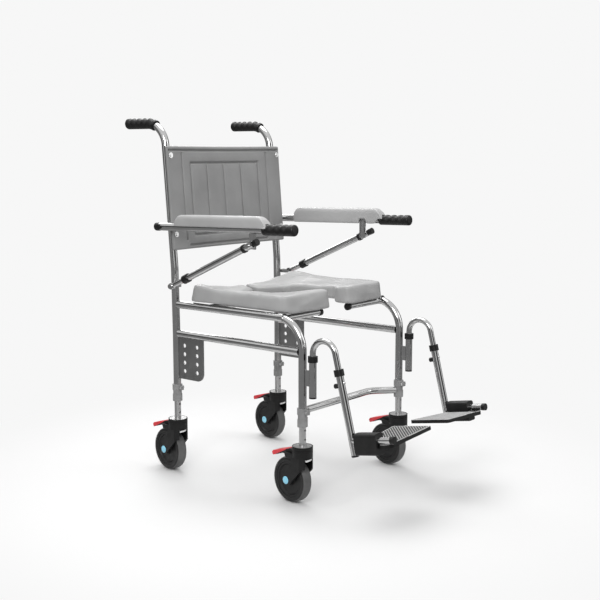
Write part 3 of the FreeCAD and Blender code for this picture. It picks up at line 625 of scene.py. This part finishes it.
def backrest():
    """Flexible moulded panel with fluted lines, rolled along its top."""
    bm = bmesh.new()
    flats = []
    columns, rows = graded(-BACK_HALF, BACK_HALF, 6), graded(0, BACK_HEIGHT, 6)
    sheets = []
    for face in (1, -1):
        sheet = []
        for row, v in enumerate(rows):
            line = []
            for column, u in enumerate(columns):
                rim_point = row in (0, len(rows) - 1) or column in (0, len(columns) - 1)
                if rim_point and face < 0:
                    line.append(sheets[0][row][column])
                    continue
                flat_u, flat_v, rim = back_flat(u, v)
                bulge = dome(rim, BACK_THICKNESS / 2)
                line.append(bm.verts.new(back_point(flat_u, flat_v, BACK_THICKNESS / 2 + face * bulge)))
                flats.append((flat_u, flat_v, face, rim))
            sheet.append(line)
        sheets.append(sheet)
        for row in range(len(rows) - 1):
            for column in range(len(columns) - 1):
                bm.faces.new((sheet[row][column], sheet[row][column + 1],
                              sheet[row + 1][column + 1], sheet[row + 1][column]))
    mesh = mesh_from(bm)
    pins = [
        1.0 if face < 0 else 1 - smoothstep(2, 9, min(rim, line_distance(u, v)))
        for u, v, face, rim in flats
    ]
    mesh = subdivided(swollen(mesh, pins, 1 * MM, 0.8 * MM), 2, relax=1)
    foot = back_point(0, 0, 0) + BACK_AHEAD * back_bow(0) * MM
    for vertex in mesh.vertices:
        offset = (vertex.co - foot) / MM
        u, v = offset.x, offset.dot(BACK_UP)
        forward = offset.dot(BACK_AHEAD) + back_bow(u)
        distance = line_distance(u, v)
        if forward > BACK_THICKNESS * 0.55 and distance < GROOVE_REACH:
            groove = 0.5 + 0.5 * math.cos(math.pi * distance / GROOVE_REACH)
            vertex.co -= BACK_AHEAD * GROOVE_DEPTH * groove * MM
    soft_piece("backrest", mesh, "back_foam", "frame", "backrest_panel")


# ---------------------------------------------------------------- hand grips

def grip_skin(bm, path, length, radius, first, pitch, bulges):
    """Rubber grip from its closed end to its mouth, with finger bulges along its upper side."""
    end = 5.0
    rounding = [end * (1 - math.cos(math.pi / 2 * step / 5)) for step in range(6)]
    stations = rounding + [end + 1.3 * step for step in range(1, int((length - end - 2) / 1.3) + 1)]
    stations = stations + [length - 1, length]
    turns = [2 * math.pi * step / 36 for step in range(36)]
    last = bulges * pitch
    rings = []
    for along in stations:
        centre, up = path(along)
        shoulder = dome(min(along, length - along + 3.5), end) + radius - end
        ring = []
        for turn in turns:
            above = smoothstep(-0.8, 0.5, math.cos(turn))
            shifted = along + 4 * math.sin(turn) - first
            inside = smoothstep(-6, 0, shifted) * (1 - smoothstep(last, last + 5, shifted))
            valley = abs(math.cos(math.pi * shifted / pitch)) ** 2.5
            reach = shoulder - 0.2 - 3.2 * above * inside * valley
            ring.append(centre + (up * math.cos(turn) + X * math.sin(turn)) * reach * MM)
        rings.append(ring)
    mouth, up = path(length)
    rings.append([mouth + (up * math.cos(turn) + X * math.sin(turn)) * 11.05 * MM for turn in turns])
    rows = skin(bm, rings, close_ends=False)
    bm.faces.new(reversed(rows[0]))


def handle_path(side):
    """Centre line of a push handle from its end, and the direction of its upper side."""
    def at(along):
        tip_y, tip_z, bend = 479.6, 1019.5, 70.0
        straight = tip_y - 392.7
        angle = max(0.0, along - straight) / bend
        ahead = min(along, straight)
        centre = Vector((
            SIDES[side] * HALF_TRACK,
            tip_y - ahead - bend * math.sin(angle),
            tip_z - bend * (1 - math.cos(angle)),
        ))
        return centre * MM, Vector((0, -math.sin(angle), math.cos(angle)))
    return at


def arm_grip_path(side):
    """Centre line of an armrest's grip from its front end."""
    return lambda along: (ARM_HINGE[side] + ARM_AXIS * (495 - along) * MM, ARM_ABOVE)


def hand_grips():
    """Rubber grips of the push handles and the armrests, and the armrests' rear caps."""
    bm = bmesh.new()
    for side in SIDES:
        grip_skin(bm, handle_path(side), 118, 16.0, 16, 22.5, 4)
    piece("push_grip_rubber", bm, "grip_rubber", "frame", ("push_grips",))
    for side in SIDES:
        bm = bmesh.new()
        grip_skin(bm, arm_grip_path(side), 105, 15.5, 21, 24.0, 3)
        rear = ARM_HINGE[side] - ARM_AXIS * 9 * MM
        lathe(bm, rear, -ARM_AXIS, [(11.05, 0), (12, 0.6), (12, 11), (11.2, 13), (9.5, 13.8), (3, 14)])
        piece(f"arm_grip_rubber_{side}", bm, "grip_rubber", f"armrest_{side}",
              (f"arm_grips_{side}",))


# ---------------------------------------------------------------- footplates

def plate_place(side):
    """Frame of a footplate: x forward along its pivot tube, y to the occupant's left."""
    rise, tip = math.radians(10), math.radians(3.4)
    ahead = Vector((0, -math.cos(rise), math.sin(rise)))
    level = Matrix((ahead, X, ahead.cross(X))).transposed().to_4x4()
    pivot = Vector((SIDES[side] * HALF_TRACK, -347.874, 204.957)) * MM
    return Matrix.Translation(pivot) @ level @ Matrix.Rotation(-SIDES[side] * tip, 4, "X")


def clipped(polygon, normal, offset):
    """Where a line across a convex polygon enters and leaves it."""
    crossings = []
    for start, end in zip(polygon, polygon[1:] + polygon[:1]):
        before, after = start.dot(normal) - offset, end.dot(normal) - offset
        if before * after < 0:
            crossings.append(start.lerp(end, before / (before - after)))
    return crossings


def tread_ribs(side):
    """Diagonal anti-slip ribs, light grey as a painted highlight on their worn edges, and the raised bead
    round a footplate.
    """
    place, sign = plate_place(side), SIDES[side]

    def at(along, inward, up):
        return place @ (Vector((along, -sign * inward, up)) * MM)

    bm = bmesh.new()
    area = [Vector(corner) for corner in ((19, 30), (116, 30), (117, 179), (5, 179), (17, 54))]
    direction = Vector((114, -132)).normalized()
    normal = Vector((-direction.y, direction.x))
    offsets = [corner.dot(normal) for corner in area]
    offset = min(offsets) + 3
    while offset < max(offsets) - 3:
        ends = clipped(area, normal, offset)
        if len(ends) == 2 and (ends[0] - ends[1]).length > 6:
            rings = []
            for end in ends:
                section = ((-1.3, -10.3), (-0.9, -9.1), (0.9, -9.1), (1.3, -10.3))
                rings.append([at(*(end + normal * aside), up) for aside, up in section])
            skin(bm, rings)
        offset += 6.5
    # The ribs' light grey is a painted highlight on their worn edges.
    piece(f"tread_ribs_{side}", bm, "rib_highlight", f"footplate_{side}")
    bm = bmesh.new()
    corners = [Vector(corner) for corner in (
        (17.4, 16.4), (82.2, 16.4), (86, 14), (87, -3.6),
        (116.6, -3.6), (120.4, 182.6), (1.2, 182.6), (15.4, 50),
    )]
    loop = rounded(corners, [3, 3, 2, 3, 14, 6, 6, 12])
    inside = [Vector((point.x * 0.965 + 2.3, 88 + (point.y - 88) * 0.975)) for point in loop]
    sections = [loop, loop, inside, inside]
    heights = (-11.4, -9.9, -9.9, -11.4)
    rows = [
        [bm.verts.new(at(point.x, point.y, up)) for point in outline]
        for outline, up in zip(sections, heights)
    ]
    bridge(bm, rows + rows[:1])
    piece(f"plate_bead_{side}", bm, "bead_plastic", f"footplate_{side}")


def footrest_trim(side):
    """Black plug at the foot of the footrest tube and the catch pin below its collar."""
    down = Vector((0, -math.sin(HANGER_LEAN), -math.cos(HANGER_LEAN)))
    forward = Vector((0, -math.cos(HANGER_LEAN), math.sin(HANGER_LEAN)))
    bend = 37.5
    shoulder = Vector((
        SIDES[side] * HALF_TRACK,
        -255.1 - bend * math.cos(HANGER_LEAN),
        415.5 + bend * math.sin(HANGER_LEAN),
    )) * MM
    bm = bmesh.new()
    lathe(bm, shoulder + down * 267.9 * MM, down, [(10.3, -3), (10.3, 1.0), (9.4, 2.0), (2, 2.2)])
    piece(f"footrest_plug_{side}", bm, "black_plastic", f"footrest_{side}")
    bm = bmesh.new()
    pin = shoulder + down * 78 * MM + forward * 9.4 * MM
    lathe(bm, pin, forward, [(4.2, 0), (4.2, 1.2), (3.4, 2.6), (1.8, 3.4), (0.4, 3.6)], 24)
    piece(f"catch_pin_{side}", bm, "screw_steel", f"footrest_{side}")


def hinge_cover(side):
    """Black dome over the armrest's hinge bolt."""
    bm = bmesh.new()
    outward = X * SIDES[side]
    face = ARM_HINGE[side] + outward * 11.4 * MM
    lathe(bm, face, outward, [(8.4, 0.1), (8.4, 3.0), (7.4, 4.4), (4.5, 5.2), (1, 5.4)])
    piece(f"hinge_cover_{side}", bm, "black_plastic", "frame")


# ---------------------------------------------------------------- castors

def castor_at(leg):
    """Frame of a castor: x along its axle, y trailing, z up from the floor under its stem."""
    end, side = leg.split("_")
    foot = Vector((SIDES[side] * HALF_TRACK, LEG_Y[end], 0)) * MM
    return Matrix.Translation(foot) @ Matrix.Rotation(CASTOR_YAW, 4, "Z")


def extruded(bm, place, outline, low, high, inset):
    """Slab with softened edges from an outline in the castor's y and z, between two x values."""
    corners = [Vector(corner) for corner in outline]
    centre = sum(corners, Vector((0, 0))) / len(corners)
    loop = rounded(corners, [1.2] * len(corners), steps=3)
    rings = []
    for across, drawn_in in ((low, inset), (low + inset, 0), (high - inset, 0), (high, inset)):
        ring = []
        for point in loop:
            toward = (centre - point).normalized() * drawn_in
            ring.append(place @ (Vector((across, point.x + toward.x, point.y + toward.y)) * MM))
        rings.append(ring)
    skin(bm, rings)


def castor_trim(leg):
    """Hub caps, the light bar in the housing's mouth, which is painted light standing in for the bright
    backdrop seen through a slot there, and the red cover of the brake pedal.
    """
    place = castor_at(leg)
    axle = (place.to_3x3() @ X).normalized()
    bm = bmesh.new()
    for sign in (-1, 1):
        face = place @ (Vector((sign * 25, 40, 63)) * MM)
        profile = [(10.6, -0.6), (10.6, 0.5), (10.0, 1.2), (7.5, 1.8), (3.0, 2.1), (0.6, 2.2)]
        lathe(bm, face, axle * sign, profile)
    piece(f"hub_caps_{leg}", bm, "hub_blue", f"castor_{leg}")

    # Light bar: painted light standing in for the bright backdrop seen through the housing's slot.
    bm = bmesh.new()
    rings = []
    for across in (-11, -10, -5, 0, 5, 10, 11):
        half = 2.4 if abs(across) < 11 else 1.6
        centre = Vector((across, -25.2 + 0.02 * across ** 2, 126.5 + across * 0.13))
        section = ((-1.6, -half), (-1.6, half), (1.6, half), (1.6, -half))
        rings.append([place @ ((centre + Vector((0, along, up))) * MM) for along, up in section])
    skin(bm, rings)
    piece(f"painted_backdrop_bar_{leg}", bm, "backdrop_glimpse_light", f"castor_{leg}")

    bm = bmesh.new()
    outline = [(48, 144.6), (95, 121.0), (101.4, 119.2), (105.2, 126.8), (100.6, 132.3), (48, 147.2)]
    extruded(bm, place, outline, -17.2, 17.2, 1.2)
    piece(f"pedal_cover_{leg}", bm, "pedal_red", f"pedal_{leg}")

    bm = bmesh.new()
    hub = place @ (Vector((0, 39.4, 62.5)) * MM)
    for sign in (-1, 1):
        profile = [(50.7, 14), (50.7, 16.2), (53.6, 16.25), (56.5, 15.6), (59, 14.4), (58, 13)]
        ring_lathe(bm, hub, axle * sign, profile)
    piece(f"sidewalls_{leg}", bm, "sidewall", f"wheel_{leg}")


backrest()
hand_grips()
for side in SIDES:
    seat_cushion(side)
    arm_cushion(side)
    tread_ribs(side)
    footrest_trim(side)
    hinge_cover(side)
for leg in LEGS:
    castor_trim(leg)


# ---------------------------------------------------------------- studio

def area_light(name, place, target, width, height, power):
    """Soft rectangular light that faces a target."""
    lamp = bpy.data.lights.new(name, "AREA")
    lamp.shape, lamp.size, lamp.size_y, lamp.energy = "RECTANGLE", width, height, power
    holder = bpy.data.objects.new(name, lamp)
    holder.location = place
    holder.rotation_mode = "QUATERNION"
    holder.rotation_quaternion = (Vector(target) - Vector(place)).to_track_quat("-Z", "Y")
    bpy.context.scene.collection.objects.link(holder)


def tone_ramp(tree, value, stops):
    """Grey that follows a value from 0 to 1 through (position, tone) stops."""
    ramp = tree.nodes.new("ShaderNodeValToRGB")
    while len(ramp.color_ramp.elements) < len(stops):
        ramp.color_ramp.elements.new(0.5)
    for element, (position, tone) in zip(ramp.color_ramp.elements, stops):
        element.position, element.color = position, (*grey(tone), 1)
    tree.links.new(value, ramp.inputs["Fac"])
    return ramp.outputs["Color"]


def blended(tree, factor, first, second):
    """Colour between two others, by a factor from 0 to 1."""
    mix = tree.nodes.new("ShaderNodeMix")
    mix.data_type = "RGBA"
    tree.links.new(factor, mix.inputs["Factor"])
    tree.links.new(first, mix.inputs["A"])
    tree.links.new(second, mix.inputs["B"])
    return mix.outputs["Result"]


def studio_world(strength):
    """Dim room round the chair with tall bright screens between dark gaps, under a bright ceiling."""
    world = bpy.data.worlds.new("Studio")
    world.use_nodes = True
    tree = world.node_tree
    background = tree.nodes["Background"]
    direction = tree.nodes.new("ShaderNodeTexCoord").outputs["Generated"]
    parts = tree.nodes.new("ShaderNodeSeparateXYZ")
    tree.links.new(direction, parts.inputs["Vector"])
    bearing = tree.nodes.new("ShaderNodeMath")
    bearing.operation = "ARCTAN2"
    tree.links.new(parts.outputs["Y"], bearing.inputs[0])
    tree.links.new(parts.outputs["X"], bearing.inputs[1])
    turn = tree.nodes.new("ShaderNodeMapRange")
    turn.inputs["From Min"].default_value, turn.inputs["From Max"].default_value = -math.pi, math.pi
    tree.links.new(bearing.outputs["Value"], turn.inputs["Value"])
    height = tree.nodes.new("ShaderNodeMapRange")
    height.inputs["From Min"].default_value = -1
    tree.links.new(parts.outputs["Z"], height.inputs["Value"])
    around = tone_ramp(tree, turn.outputs["Result"], SCREENS)
    above = tone_ramp(tree, height.outputs["Result"], CEILING)
    share = tone_ramp(tree, height.outputs["Result"], CEILING_SHARE)
    room = blended(tree, share, around, above)
    backdrop = tree.nodes.new("ShaderNodeRGB")
    backdrop.outputs["Color"].default_value = (*grey(BACKDROP), 1)
    seen = tree.nodes.new("ShaderNodeLightPath").outputs["Is Camera Ray"]
    tree.links.new(blended(tree, seen, room, backdrop.outputs["Color"]), background.inputs["Color"])
    background.inputs["Strength"].default_value = strength
    bpy.context.scene.world = world


def floor(radius):
    """Pale round floor that fades into the backdrop away from the chair."""
    bm = bmesh.new()
    bmesh.ops.create_circle(bm, cap_ends=True, segments=96, radius=radius)
    mesh = bpy.data.meshes.new("Floor")
    bm.to_mesh(mesh)
    bm.free()
    sheet = bpy.data.objects.new("Floor", mesh)
    sheet.location.z = -0.0005
    bpy.context.scene.collection.objects.link(sheet)
    material = bpy.data.materials.new("PaleFloor")
    material.use_nodes = True
    tree = material.node_tree
    shader = tree.nodes["Principled BSDF"]
    shader.inputs["Base Color"].default_value = (*grey(0.62), 1)
    shader.inputs["Roughness"].default_value = 0.7
    shader.inputs["Specular IOR Level"].default_value = 0.1
    glow = tree.nodes.new("ShaderNodeEmission")
    seen = tree.nodes.new("ShaderNodeLightPath").outputs["Is Camera Ray"]
    tones = [tree.nodes.new("ShaderNodeRGB") for _ in range(2)]
    for tone, value in zip(tones, (FLOOR_BOUNCE, BACKDROP)):
        tone.outputs["Color"].default_value = (*grey(value), 1)
    tree.links.new(blended(tree, seen, *[tone.outputs["Color"] for tone in tones]), glow.inputs["Color"])
    place = tree.nodes.new("ShaderNodeTexCoord").outputs["Object"]
    distance = tree.nodes.new("ShaderNodeVectorMath")
    distance.operation = "LENGTH"
    tree.links.new(place, distance.inputs[0])
    fade = tree.nodes.new("ShaderNodeMapRange")
    fade.interpolation_type = "SMOOTHSTEP"
    fade.inputs["From Min"].default_value, fade.inputs["From Max"].default_value = 0.4, 1.2
    tree.links.new(distance.outputs["Value"], fade.inputs["Value"])
    blend = tree.nodes.new("ShaderNodeMixShader")
    tree.links.new(fade.outputs["Result"], blend.inputs["Fac"])
    tree.links.new(shader.outputs["BSDF"], blend.inputs[1])
    tree.links.new(glow.outputs["Emission"], blend.inputs[2])
    tree.links.new(blend.outputs["Shader"], tree.nodes["Material Output"].inputs["Surface"])
    mesh.materials.append(material)


def camera():
    """Eye-level three-quarter view of the occupant's right side, fitted to the photo."""
    azimuth, elevation = math.radians(-50.70), math.radians(8.12)
    back = Vector((
        math.sin(azimuth) * math.cos(elevation),
        -math.cos(azimuth) * math.cos(elevation),
        math.sin(elevation),
    ))
    lens = bpy.data.cameras.new("Camera")
    lens.lens, lens.sensor_width, lens.shift_y = 63.61, 36.0, 0.0037
    holder = bpy.data.objects.new("Camera", lens)
    holder.location = (-2.35733, -1.91788, 0.94078)
    holder.rotation_mode = "QUATERNION"
    holder.rotation_quaternion = (-back).to_track_quat("-Z", "Y")
    bpy.context.scene.collection.objects.link(holder)
    bpy.context.scene.camera = holder


BACKDROP = 0.93
FLOOR_BOUNCE = 0.28
SCREENS = [(0.0, 0.06), (0.07, 0.05), (0.10, 0.9), (0.15, 0.9), (0.18, 0.06), (0.30, 0.05), (0.34, 1.0),
           (0.40, 1.0), (0.43, 0.05), (0.55, 0.04), (0.60, 0.30), (0.72, 0.30), (0.78, 0.04), (0.88, 0.04),
           (0.92, 0.7), (0.96, 0.7), (1.0, 0.06)]
CEILING = [(0.0, 0.5), (0.5, 0.3), (0.75, 1.0), (1.0, 1.0)]
CEILING_SHARE = [(0.0, 1.0), (0.35, 0.6), (0.48, 0.0), (0.62, 0.0), (0.74, 1.0)]
studio_world(1.0)
floor(30.0)
area_light("Key", (-2.4, -1.2, 1.9), (0, 0, 0.5), 1.2, 1.2, 42)
area_light("Top", (0.2, 0.5, 2.6), (0, 0, 0.5), 1.6, 1.6, 40)
area_light("Fill", (1.6, -2.6, 1.8), (0, 0, 0.5), 1.2, 1.6, 12)
area_light("Rim", (1.5, 2.4, 2.0), (0, 0, 0.6), 1.4, 1.4, 26)
camera()
bpy.context.scene.view_settings.view_transform = "Standard"
